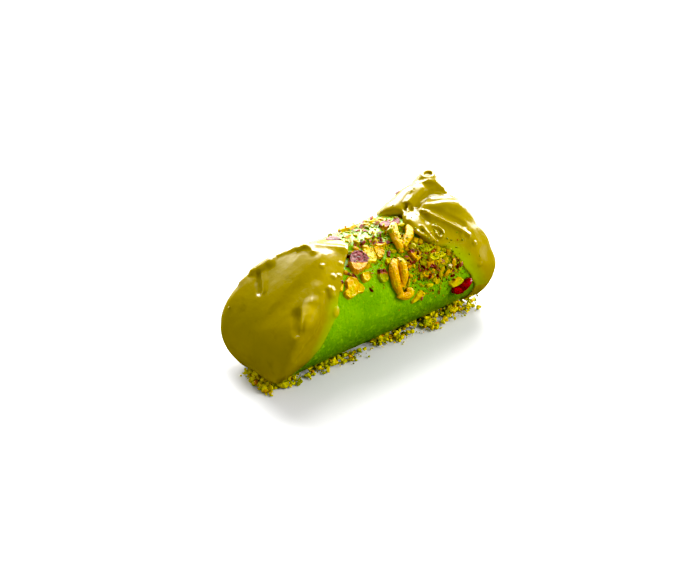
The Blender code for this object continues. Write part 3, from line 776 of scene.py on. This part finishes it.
# Broken pieces. Each outline is (right, down) in mm from the piece's middle, as the camera sees it.
# tone: 0 olive, 0.2 green, 0.4 lemon, 0.6 gold, 0.8 orange, 1 pale. skin: how far down it reaches, in mm.
chunks = {
    "nut_skinned": {"at": (-10.8, 117.7), "thick": 2.6, "tone": 0.68, "skin": 0.0, "outline": [
        (-3.5, -2.6), (-2.2, -3.9), (1.4, -4.2), (4.0, -1.8), (4.4, 1.3), (3.0, 3.6), (0.4, 5.2),
        (-2.2, 4.2), (-3.8, 1.3)]},
    "nut_plate_a": {"at": (-3.9, 115.4), "thick": 1.3, "tone": 0.46, "skin": noSkin, "outline": [
        (-2.9, -2.2), (-0.8, -2.5), (1.0, -3.3), (2.3, -0.7), (3.6, 1.9), (2.8, 3.7), (0.2, 3.5),
        (-0.8, 1.4)]},
    "nut_plate_b": {"at": (0.9, 119.5), "thick": 1.6, "tone": 0.56, "skin": noSkin, "outline": [
        (-3.1, -2.7), (-1.5, -3.0), (1.1, -1.9), (1.7, 0.4), (0.6, 2.1), (-1.0, 2.2), (-2.3, 0.2)]},
    "nut_broken": {"at": (-18.1, 139.9), "thick": 2.0, "tone": 0.58, "skin": noSkin, "outline": [
        (-3.8, -2.1), (-2.2, -4.2), (0.4, -3.4), (1.7, -1.3), (3.0, -0.5), (4.4, 0.8), (4.1, 2.9),
        (1.7, 3.4), (-0.4, 5.3), (-2.0, 5.8), (-4.1, 4.4), (-4.4, 2.9), (-3.3, 1.0)]},
    "nut_cube": {"at": (-11.3, 136.1), "thick": 2.2, "tone": 0.55, "skin": noSkin, "outline": [
        (-2.2, -1.4), (0.6, -2.4), (2.0, 0.2), (1.7, 1.5), (-0.4, 2.4), (-1.7, 0.9)]},
    "nut_brown": {"at": (-4.2, 140.5), "thick": 1.8, "tone": 0.12, "skin": -1.2, "outline": [
        (-1.3, -2.6), (1.3, -2.8), (2.6, -0.7), (2.9, 2.1), (1.8, 3.5), (0.0, 3.2), (-1.2, 1.1)]},
    "nut_orange": {"at": (12.9, 134.3), "thick": 2.2, "tone": 0.64, "skin": -1.6, "outline": [
        (-1.2, -2.1), (0.6, -2.9), (2.7, -2.1), (3.8, -1.0), (4.0, 1.3), (2.7, 2.9), (0.6, 0.8),
        (-0.6, -0.5)]},
    "nut_green": {"at": (20.8, 133.2), "thick": 1.6, "tone": 0.2, "skin": noSkin, "outline": [
        (-4.0, -1.0), (-1.5, -2.0), (2.5, -1.8), (4.2, -0.2), (2.0, 1.4), (-2.0, 1.6)]},
    "nut_long": {"at": (24.6, 146.2), "thick": 2.0, "tone": 0.42, "skin": noSkin, "outline": [
        (-3.5, -1.2), (-1.7, -2.2), (1.5, -2.4), (4.0, -1.4), (2.5, -0.2), (-0.1, 1.1), (-2.7, 1.4),
        (-3.8, 0.4)]},
    "nut_triangle": {"at": (16.3, 156.8), "thick": 2.0, "tone": 0.68, "skin": -1.4, "outline": [
        (-1.4, -4.2), (0.3, -3.2), (2.3, -0.9), (4.4, 1.2), (2.3, 2.0), (-0.3, 1.5), (-1.6, 0.4),
        (-0.8, -1.7)]},
    "nut_leaf": {"at": (11.1, 178.5), "thick": 1.0, "tone": 0.46, "skin": noSkin, "outline": [
        (-0.8, -0.6), (0.5, -2.4), (2.0, -2.9), (3.6, -1.7), (2.8, -0.4), (1.0, 0.7), (-0.6, 1.7),
        (-2.7, 2.8), (-2.4, 1.7), (-1.4, 0.7)]},
    "nut_low": {"at": (31.8, 177.6), "thick": 1.6, "tone": 0.42, "skin": noSkin, "outline": [
        (-2.5, 1.8), (-0.2, -0.3), (2.4, -1.3), (4.0, -0.5), (3.0, 1.3), (0.9, 2.6), (-1.2, 3.2)]},
    "nut_top_near": {"at": (-8.6, 73.3), "thick": 1.3, "tone": 0.9, "skin": 1.6, "outline": [
        (-3.4, 1.6), (-1.4, 0.4), (1.5, 0.4), (3.6, 1.5), (3.9, 2.8), (1.3, 3.8), (-1.4, 3.3),
        (-3.2, 2.5)]},
    "nut_top_strip": {"at": (1.4, 61.7), "thick": 1.6, "tone": 0.52, "skin": noSkin, "outline": [
        (-3.9, 1.0), (-2.7, -0.1), (0.9, -1.2), (4.1, -2.0), (4.5, -1.2), (2.0, 0.1), (-1.7, 1.3),
        (-3.2, 1.8)]},
    "nut_top_far": {"at": (12.6, 65.0), "thick": 1.4, "tone": 0.35, "skin": noSkin, "outline": [
        (-2.6, 0.8), (-1.0, -0.8), (1.5, -1.2), (2.8, -0.6), (2.2, 0.6), (0.0, 1.2)]},
    "nut_top_edge": {"at": (12.5, 89.5), "thick": 1.6, "tone": 0.75, "skin": 0.4, "outline": [
        (-2.4, 0.6), (-1.0, -1.0), (1.2, -1.6), (2.6, -0.8), (2.8, 0.8), (1.0, 1.8), (-1.2, 1.6)]},
    "nut_top_strap": {"at": (17.9, 91.8), "thick": 1.4, "tone": 0.6, "skin": 0.2, "outline": [
        (-1.8, 0.5), (-0.6, -1.3), (1.4, -1.5), (2.0, -0.2), (1.2, 1.2), (-0.8, 1.5)]},
    "tornSkin": {"at": (-18.1, 139.9), "thick": 0.7, "tone": 0.7, "skin": allSkin, "outline": [
        (-3.5, -6.6), (-2.2, -6.3), (0.1, -5.5), (1.4, -3.9), (2.4, -1.6), (1.2, -1.8), (-0.4, -3.8),
        (-2.2, -4.9)]},
    "spottedStrip": {"at": (-18.1, 139.9), "thick": 0.9, "tone": 0.5, "skin": -1.0, "outline": [
        (-6.1, -2.3), (-4.5, -2.8), (-4.3, -0.8), (-4.8, 2.3), (-5.9, 2.1)]},
    "flakeBesideLong": {"at": (24.6, 146.2), "thick": 1.1, "tone": 0.7, "skin": allSkin, "outline": [
        (-3.5, 3.8), (-1.7, 2.1), (0.7, 2.2), (0.8, 3.5), (-1.1, 4.7)]},
    "paleDrop": {"at": (24.6, 146.2), "thick": 1.2, "tone": 1.0, "skin": noSkin, "outline": [
        (5.1, 3.2), (6.1, 2.3), (7.2, 3.2), (6.9, 4.8), (5.7, 5.2)]},
    "leafBehindWhole": {"at": (3.5, 149.9), "thick": 1.6, "tone": 0.14, "skin": noSkin, "outline": [
        (-0.7, -9.6), (1.9, -8.9), (3.4, -6.8), (2.9, -4.2), (1.6, -6.3), (-1.0, -8.1)]},
    "flakeBesidePlate": {"at": (0.9, 119.5), "thick": 1.0, "tone": 0.8, "skin": allSkin, "outline": [
        (2.7, -1.1), (3.7, -1.8), (4.3, -0.1), (3.7, 1.7), (2.7, 0.9)]},
    "flakeAbovePlate": {"at": (0.9, 119.5), "thick": 1.0, "tone": 0.8, "skin": allSkin, "outline": [
        (1.9, -4.8), (2.9, -6.1), (4.1, -5.4), (3.7, -4.3), (2.6, -3.6)]},
    "flakeAtWhole": {"at": (3.5, 149.9), "thick": 1.4, "tone": 0.8, "skin": allSkin, "outline": [
        (-3.1, -8.3), (-1.8, -8.9), (-1.1, -7.3), (-2.3, -6.2), (-3.1, -7.0)]},
    "bitBelowPlate": {"at": (0.9, 119.5), "thick": 1.3, "tone": 0.44, "skin": noSkin, "outline": [
        (2.1, 2.4), (4.2, 2.1), (4.7, 3.5), (3.4, 4.6), (2.4, 3.5)]},
    "flakeAtOrange": {"at": (12.9, 134.3), "thick": 1.2, "tone": 0.8, "skin": allSkin, "outline": [
        (3.0, -1.0), (4.0, -1.6), (4.7, 0.3), (4.0, 2.1), (3.2, 1.0)]},
    "smearBelowOrange": {"at": (12.9, 134.3), "thick": 0.9, "tone": 0.75, "skin": 3.4, "outline": [
        (-1.2, 4.4), (0.6, 2.3), (2.7, 1.3), (2.6, 2.9), (0.6, 4.4), (-0.9, 6.0)]},
    "bitBelowTriangle": {"at": (16.3, 156.8), "thick": 1.2, "tone": 0.44, "skin": noSkin, "outline": [
        (1.0, 4.6), (2.9, 4.1), (4.4, 4.5), (3.6, 5.6), (1.8, 6.4)]},
    "bitAbovePlate": {"at": (0.9, 119.5), "thick": 1.5, "tone": 0.5, "skin": -4.4, "outline": [
        (-2.8, -3.8), (-1.5, -5.3), (1.1, -4.9), (2.1, -3.8), (0.1, -3.0), (-2.0, -3.2)]},
    "bitAtFork": {"at": (12.5, 112.2), "thick": 1.4, "tone": 0.2, "skin": noSkin, "outline": [
        (4.6, 2.6), (6.4, 1.4), (8.4, 2.6), (9.4, 4.4), (7.4, 5.2), (5.4, 4.4)]},
}
# Rolled halves and the berry, as strands: (right, down, above the sheet, thickness) in mm, seen the same way.
strandPieces = {
    "nut_whole": {"at": (3.5, 149.9), "tone": 0.6, "skin": noSkin, "strands": [
        [(-1.3, -7.2, 1.2, 2.6), (-2.6, -4.7, 1.6, 4.0), (-2.6, -1.0, 1.7, 4.4), (-1.6, 2.6, 1.6, 4.0),
         (0.1, 5.7, 1.4, 3.2), (1.9, 7.6, 1.1, 2.0)],
        [(-0.8, -7.5, 1.3, 2.6), (0.5, -6.3, 1.7, 3.6), (1.2, -4.2, 1.9, 3.9), (1.5, -1.3, 1.8, 3.7),
         (1.5, 1.3, 1.6, 3.2), (1.0, 3.6, 1.2, 2.2)],
        [(-0.2, 7.0, 1.0, 2.4), (1.9, 7.8, 1.4, 3.4), (4.0, 7.3, 1.6, 3.6), (5.3, 5.7, 1.6, 3.1),
         (4.6, 4.5, 1.4, 2.3), (3.1, 4.9, 1.2, 1.6)]]},
    "nut_fork": {"at": (12.5, 112.2), "tone": 0.56, "skin": noSkin, "strands": [
        [(-1.6, -5.4, 1.2, 3.0), (-2.2, -3.3, 1.8, 4.4), (-1.6, -0.7, 1.9, 4.4), (-0.3, 1.9, 1.7, 3.9),
         (0.7, 4.0, 1.5, 3.0), (1.1, 5.5, 1.0, 2.0)],
        [(4.2, -5.2, 1.2, 2.6), (4.9, -2.8, 1.8, 3.7), (4.4, -0.7, 1.9, 3.7), (3.1, 1.1, 1.7, 3.3),
         (1.8, 3.1, 1.4, 2.8)]]},
    "berry": {"at": (35.0, 189.0), "tone": 0.0, "skin": noSkin, "strands": [
        [(-3.2, 1.4, 1.0, 2.6), (-1.8, 1.2, 1.5, 3.9), (-0.3, 1.2, 1.4, 4.0), (0.9, 1.0, 1.0, 2.6)],
        [(0.5, 0.0, 1.3, 3.6), (1.9, -1.4, 1.8, 4.8), (3.3, -2.6, 1.6, 4.2), (4.2, -3.3, 1.0, 2.4)]]},
}
chunkShape = {"sunk": 0.6, "top": 0.88, "edge": 0.22, "least": 0.2, "dome": 0.3}  # mm, and shares of thick
pieceGrain = 0.2  # size of the remeshed faces, mm
creases = ((2.4, 0.55), (0.8, 0.25))  # width and depth in mm
farthestSlide = 5 * mm
sideShadeTone = 0.12  # how much further up the tone ramp a piece's sides are painted, as painted shade: redder and darker for gold pieces


def seenFrom(middle, normal, right, down, above):
    # a point in the plane that touches the sheet at middle, where the camera sees (right, down) mm from it
    turn = bpy.context.scene.camera.matrix_world.to_3x3()
    seen = middle + (turn.col[0] * right - turn.col[1] * down) * mm
    towards = turn.col[2]
    slide = normal.dot(middle - seen) / normal.dot(towards)
    flat = seen + towards * max(min(slide, farthestSlide), -farthestSlide)
    axis = Vector((flat.x, 0, axisHeight))
    out = (flat - axis).normalized()
    ground = sheetTree.ray_cast(axis + out * farOut, -out)[0] or flat
    return ground + out * above * mm


def makeChunk(name, plan):
    # the outline laid on the sheet, raised, and eased in at its top
    sunk, thick = chunkShape["sunk"], plan["thick"]
    bpy.ops.object.select_all(action="DESELECT")
    bpy.ops.mesh.primitive_circle_add(vertices=len(plan["outline"]), radius=mm, fill_type="NGON")
    chunk = bpy.context.object
    chunk.name = name
    middle = onRoll(sheetTree, *plan["at"])[0]
    normal = outFrom(plan["at"][1])
    for vert, (right, down) in zip(chunk.data.vertices, plan["outline"]):
        vert.co = seenFrom(middle, normal, right, down, -sunk)
    lift = normal * (thick + sunk) * mm
    bpy.ops.object.mode_set(mode="EDIT")
    bpy.ops.mesh.select_all(action="SELECT")
    bpy.ops.mesh.extrude_region_move(TRANSFORM_OT_translate={"value": lift})
    bpy.ops.transform.resize(value=(chunkShape["top"],) * 3)
    edge = chunkShape["edge"] * thick * mm + chunkShape["least"] * mm
    bpy.ops.mesh.inset(thickness=edge, depth=random.uniform(0.0, chunkShape["dome"]) * thick * mm)
    bpy.ops.mesh.select_all(action="SELECT")
    bpy.ops.mesh.quads_convert_to_tris()
    bpy.ops.mesh.normals_make_consistent(inside=False)
    bpy.ops.object.mode_set(mode="OBJECT")
    return chunk


def makeStrands(name, plan):
    middle = onRoll(sheetTree, *plan["at"])[0]
    normal = outFrom(plan["at"][1])
    parts = []
    for number, stops in enumerate(plan["strands"]):
        places = [seenFrom(middle, normal, right, down, above) for right, down, above, thick in stops]
        parts.append(strand(name + str(number), places, [stop[3] for stop in stops]))
    pickOnly(*parts)
    bpy.ops.object.join()
    piece = bpy.context.object
    piece.name = name
    piece.data.materials.clear()
    return piece


def paintKernel(piece, plan):
    middle = onRoll(sheetTree, *plan["at"])[0]
    upward = bpy.context.scene.camera.matrix_world.to_3x3().col[1]
    outward = outFrom(plan["at"][1])
    above = [(vert.co - middle).dot(upward) / mm + plan["skin"] for vert in piece.data.vertices]
    paint(piece, "skin", [clamped(0.5 + value * 0.5) for value in above])
    # painted shade: the tone rises on sides that face away from the roll
    paint(piece, "tone", [plan["tone"] + sideShadeTone * (1 - max(vert.normal.dot(outward), 0))
                          for vert in piece.data.vertices])


def makeLargePieces():
    kernel, berry = lookOfKernel("kernel"), lookOfBerry()
    made = []
    slots = {part["node"]: part["material_slot"] for part in frame["record"]["subparts"]}
    for node, plan in {**chunks, **strandPieces}.items():
        rolled = "strands" in plan
        piece = makeStrands(node + "Piece", plan) if rolled else makeChunk(node + "Piece", plan)
        modify(piece, "REMESH", mode="VOXEL", voxel_size=pieceGrain * mm)
        modify(piece, "SMOOTH", factor=0.5, iterations=2 if rolled else 1)
        for wide, deep in creases:
            crumple(piece, node + "Crease", wide, deep)
        paintKernel(piece, plan)
        covered = [node] if node in slots else []
        slotName = slots.get(node, "skin" if plan["skin"] == allSkin else "kernel")
        finishPiece(piece, berry if slotName == "berry" else kernel, slotName, *covered)
        made.append(piece)
    return made


largePieces = makeLargePieces()
print("large pieces:", len(largePieces))


# Chopped nuts, skins and crumbs.

chips = {"shapes": 8, "cuts": 6, "cutAt": (0.35, 0.75), "worn": 0.12}  # shares of the radius
lowestBit = 0.02  # how far over the ground the bits stay, mm
skinFrom = 0.15  # height on a bit from which skin covers it, as a share of its radius


def makeChip(number, detail, cuts):
    # one broken bit: a small ball with flat breaks and worn edges, about 2 across
    bpy.ops.object.select_all(action="DESELECT")
    bpy.ops.mesh.primitive_ico_sphere_add(subdivisions=detail, radius=1)
    chip = bpy.context.object
    chip.name = "chip%d" % number
    bpy.ops.object.mode_set(mode="EDIT")
    for cut in range(cuts):
        facing = Vector((random.gauss(0, 1), random.gauss(0, 1), random.gauss(0, 1))).normalized()
        bpy.ops.mesh.select_all(action="SELECT")
        bpy.ops.mesh.bisect(plane_co=facing * random.uniform(*chips["cutAt"]), plane_no=facing,
                            use_fill=True, clear_outer=True)
    bpy.ops.mesh.select_all(action="SELECT")
    bpy.ops.mesh.remove_doubles(threshold=chips["worn"])
    bpy.ops.mesh.quads_convert_to_tris()
    bpy.ops.mesh.normals_make_consistent(inside=False)
    bpy.ops.object.mode_set(mode="OBJECT")
    points = np.array([tuple(vert.co) for vert in chip.data.vertices])
    faces = [tuple(face.vertices) for face in chip.data.polygons]
    bpy.data.objects.remove(chip)
    return points, faces


class Heap:
    # many copies of a few shapes, gathered into one mesh with a tone and a skin for each
    def __init__(self, name, shapes):
        self.name, self.shapes = name, shapes
        self.points, self.faces, self.tones, self.skins = [], [], [], []
        self.count = 0

    def drop(self, place, normal, size, tone, skinned, lean=0.4, sink=0.3):
        points, faces = random.choice(self.shapes)
        turn = normal.to_track_quat("Z", "Y").to_matrix()
        spin = Matrix.Rotation(random.uniform(0, math.tau), 3, "Z")
        tip = Matrix.Rotation(random.gauss(0, lean), 3, "X") @ Matrix.Rotation(random.gauss(0, lean), 3, "Y")
        shape = np.diag([side * mm / 2 for side in size])
        whole = np.array(turn @ spin @ tip) @ shape
        middle = place + normal * size[2] * mm * (0.5 - sink)
        placed = points @ whole.T + np.array(middle)
        placed[:, 2] = np.maximum(placed[:, 2], lowestBit * mm)
        self.points.append(placed)
        self.faces += [tuple(index + self.count for index in face) for face in faces]
        self.count += len(points)
        self.tones += [tone] * len(points)
        upper = points[:, 2] > skinFrom
        self.skins += list(np.where(upper, 1.0, 0.0) * skinned)

    def finish(self, look, slotName, smooth=35):
        mesh = bpy.data.meshes.new(self.name)
        mesh.from_pydata(np.concatenate(self.points).tolist(), [], self.faces)
        mesh.update()
        piece = bpy.data.objects.new(self.name, mesh)
        bpy.context.scene.collection.objects.link(piece)
        paint(piece, "tone", self.tones)
        paint(piece, "skin", self.skins)
        finishPiece(piece, look, slotName, smooth=smooth)
        return piece


def lookOfChips(name, colours, bark):
    look = Look(name, 0.5, 0.4, glow=0.15, glowDepth=0.0008, glowColour=(1.0, 0.7, 0.1))
    tone = look.sum("ADD", look.painted("tone"), look.sum("MULTIPLY", look.mask(900, 0.3, 0.7), 0.16))
    flesh = look.ramp(tone, colours)
    skin = look.sum("MULTIPLY", look.painted("skin"), look.mask(700, 0.25, 0.5))
    look.colour(look.blend(skin, flesh, bark))
    look.bumps((look.mask(1500, 0.3, 0.7), 0.15))
    return look.material


nutTones = [(0.0, (0.15, 0.18, 0.006)), (0.3, (0.38, 0.36, 0.007)), (0.6, (0.66, 0.44, 0.006)),
            (0.85, (0.58, 0.26, 0.008)), (1.0, (0.36, 0.09, 0.02))]
crumbTones = [(0.0, (0.03, 0.024, 0.004)), (0.25, (0.10, 0.15, 0.006)), (0.5, (0.27, 0.32, 0.008)),
              (0.8, (0.50, 0.42, 0.01)), (1.0, (0.40, 0.10, 0.05))]
footTones = [(0.0, (0.02, 0.018, 0.004)), (0.16, (0.14, 0.17, 0.005)), (0.4, (0.50, 0.50, 0.01)),
             (0.75, (0.82, 0.68, 0.02)), (1.0, (0.55, 0.20, 0.03))]
flakeTones = [(0.0, (0.30, 0.03, 0.06)), (0.5, (0.42, 0.08, 0.10)), (1.0, (0.14, 0.02, 0.02))]
# Patches strewn with bits: middle (x, degrees), spread (x, degrees), chopped nuts, skins, fine crumbs
patches = [
    ((21, 150), (8.0, 12), 50, 36, 900),
    ((31, 152), (7.5, 13), 44, 24, 900),
    ((22, 130), (6.0, 7), 34, 20, 620),
    ((8, 118), (10, 9), 18, 16, 240),
    ((-6, 124), (7, 12), 6, 8, 60),
    ((12, 76), (9, 10), 22, 12, 260),
    ((-3, 72), (9, 9), 9, 8, 80),
    ((20, 110), (5, 9), 16, 12, 200),
    ((3, 101), (9, 3.5), 18, 12, 160),
]
# Lengths in mm as (least, most, usual) or (least, most), and the other sides as shares of the length.
# A flake is as thick as given in mm.
nutBits = {"long": (1.6, 5.0, 2.6), "wide": (0.5, 0.85), "thick": (0.35, 0.6), "skinned": 0.3}
flakeBits = {"long": (1.2, 3.2), "wide": (0.4, 0.8), "thick": 0.5}
grainBits = {"long": (0.5, 1.3), "wide": 0.8, "thick": 0.7}
keptOff = {"cream": 0.96, "pieces": 0.85, "creamOver": 0.6, "pieceOver": 0.7}  # shares, and mm over the sheet
loneFlake = {"at": (30.5, 66), "size": (3.6, 1.6, 0.6), "tone": 0.3}
loneSpeck = {"at": (20.1, 22.2), "size": (1.3, 1.1, 0.8), "tone": 0.8}  # on the near face


def onCream(place):
    near, normal, index, away = sheetTree.find_nearest(place)
    return away > keptOff["creamOver"] * mm


def spotOnFront(tree, bare, middle, spread):
    # a chance place on the roll, or nothing where cream or a large piece keeps the bits off
    (x, degrees), (spreadX, spreadTurn) = middle, spread
    place, normal = onRoll(tree, random.gauss(x, spreadX), random.gauss(degrees, spreadTurn))
    if place is None:
        return None
    ground = onRoll(bare, place.x / mm, math.degrees(math.atan2(place.z - axisHeight, place.y)))[0]
    if ground is not None and onCream(ground) and random.random() < keptOff["cream"]:
        return None
    over = keptOff["pieceOver"] * mm
    if ground is not None and (place - ground).length > over and random.random() < keptOff["pieces"]:
        return None
    return place, normal


def dropNut(heap, place, normal):
    long = random.triangular(*nutBits["long"])
    size = (long, long * random.uniform(*nutBits["wide"]), long * random.uniform(*nutBits["thick"]))
    heap.drop(place, normal, size, random.triangular(0.0, 1.0, 0.5), random.random() < nutBits["skinned"])


def dropFlake(heap, place, normal):
    long = random.uniform(*flakeBits["long"])
    size = (long, long * random.uniform(*flakeBits["wide"]), flakeBits["thick"])
    heap.drop(place, normal, size, random.random(), 1, lean=0.5, sink=0.0)


def dropGrain(heap, place, normal):
    long = random.uniform(*grainBits["long"])
    size = (long, long * grainBits["wide"], long * grainBits["thick"])
    heap.drop(place, normal, size, random.triangular(0.0, 1, 0.4), 0)


def strewFront(tree, bare):
    shapes = [makeChip(number, 2, chips["cuts"]) for number in range(chips["shapes"])]
    grains = [makeChip(20 + number, 1, 2) for number in range(4)]
    nuts, flakes, crumbs = Heap("choppedNuts", shapes), Heap("skinFlakes", shapes), Heap("fineCrumbs", grains)
    for middle, spread, *counts in patches:
        kinds = (nuts, dropNut), (flakes, dropFlake), (crumbs, dropGrain)
        for (heap, dropOne), count in zip(kinds, counts):
            for one in range(count):
                spot = spotOnFront(tree, bare, middle, spread)
                if spot:
                    dropOne(heap, *spot)
    flakes.drop(*onRoll(tree, *loneFlake["at"]), loneFlake["size"], loneFlake["tone"], 1, lean=0.1, sink=0.0)
    crumbs.drop(*onFace(tree, *loneSpeck["at"]), loneSpeck["size"], loneSpeck["tone"], 0)
    nuts.finish(lookOfChips("choppedFlesh", nutTones, skinColours["purple"]), "kernel")
    flakes.finish(lookOfChips("flakeSkin", flakeTones, skinColours["dark"]), "skin")
    crumbs.finish(lookOfChips("fineCrumb", crumbTones, skinColours["purple"]), "kernel")


footHeap = {  # along x in mm: how far in front of the middle the crumbs reach, and how high they pile up
    "stops": [(-59, 14, 1.2), (-52, 15, 2.5), (-45, 15, 3.5), (-34, 16, 3.5), (-22, 17, 4.0), (-8, 19, 5.0),
              (2, 20, 5.5), (12, 19, 5.0), (22, 20, 6.0), (34, 21, 8.0), (46, 20.5, 8.5), (54, 17, 6.0)],
    "from": 6, "ends": (-60.8, 56.5), "faceEnds": -52, "edge": (0.8, 1.15), "slope": 1.15,
    "coarse": 800, "fine": 1500}
# Where clumps lie, and how wide they are: x, mm in front of the centre line, spread.
clumpsInFront = {"count": 50, "x": (-60, 54), "spread": (0.8, 2.8), "stretch": 1.3}
clumpsAtFace = {"count": 8, "x": (-60, -54), "away": (-8, 14), "spread": (1.2, 2.2)}
strays = {"share": 0.15, "x": (-59, 55), "to": 24}  # crumbs in no clump
crumbsBehind = {"count": 260, "x": (-40, 50), "to": 14}
footBits = {"coarse": (1.3, 3.3, 1.7), "fine": (0.5, 1.4, 0.9), "behind": (0.6, 1.6, 0.9), "wide": (0.65, 1),
            "behindWide": 0.8, "thick": 0.75}  # least, most and usual length in mm, and shares of it


def footClumps(across, reaches):
    # middles (x, in front of the centre line) and spreads of the loose clumps, mm
    clumps = []
    for one in range(clumpsInFront["count"]):
        x = random.uniform(*clumpsInFront["x"])
        away = random.uniform(footHeap["from"], np.interp(x, across, reaches))
        clumps.append((x, away, random.uniform(*clumpsInFront["spread"])))
    for one in range(clumpsAtFace["count"]):
        clumps.append([random.uniform(*clumpsAtFace[side]) for side in ("x", "away", "spread")])
    return clumps


def chancePlace(clumps):
    # x and the distance in front of the centre line of one crumb, mm
    middleX, middleY, spread = random.choice(clumps)
    x, away = random.gauss(middleX, spread * clumpsInFront["stretch"]), random.gauss(middleY, spread)
    if random.random() < strays["share"]:
        return random.uniform(*strays["x"]), random.uniform(footHeap["from"], strays["to"])
    return x, away


def strewFoot(tree):
    # crumbs heaped against the foot of the roll, in loose clumps, and a few behind it
    coarse = Heap("footCrumbs", [makeChip(40 + number, 2, 3) for number in range(5)])
    fine = Heap("footGrains", [makeChip(50 + number, 1, 2) for number in range(5)])
    across, reaches, heights = zip(*footHeap["stops"])
    clumps = footClumps(across, reaches)
    upright = Vector((0, 0, 1))
    first, last = footHeap["ends"]
    for heap, kind in ((coarse, "coarse"), (fine, "fine")):
        for one in range(footHeap[kind]):
            x, away = chancePlace(clumps)
            reach, high = np.interp(x, across, reaches), np.interp(x, across, heights)
            tooFar = away > reach * random.uniform(*footHeap["edge"]) or not first < x < last
            if tooFar or (x > footHeap["faceEnds"] and away < footHeap["from"]):
                continue
            height = high * (1 - abs(away) / (reach * footHeap["slope"])) * random.random()
            wide = random.triangular(*footBits[kind])
            place = Vector((x * mm, -away * mm, (height + wide * 0.35) * mm))
            near, normal, index, gap = tree.find_nearest(place)
            if (place - near).dot(normal) < wide * 0.2 * mm:
                continue
            size = (wide, wide * random.uniform(*footBits["wide"]), wide * footBits["thick"])
            heap.drop(place, upright, size, random.triangular(0, 1, 0.55), 0, lean=1.0)
    for one in range(crumbsBehind["count"]):
        x = random.uniform(*crumbsBehind["x"])
        wide = random.triangular(*footBits["behind"])
        away = random.uniform(footHeap["from"], crumbsBehind["to"])
        place = Vector((x * mm, away * mm, wide * 0.4 * mm))
        size = (wide, wide * footBits["behindWide"], wide * footBits["thick"])
        fine.drop(place, upright, size, random.random(), 0, lean=1.0)
    look = lookOfChips("footCrumb", footTones, skinColours["purple"])
    coarse.finish(look, "kernel")
    fine.finish(look, "kernel")


dressedTree = treeOf(sheet, creamBody, *largePieces)
bareTree = treeOf(sheet, creamBody)
strewFront(dressedTree, bareTree)
strewFoot(bareTree)
print("nuts, skins and crumbs strewn")
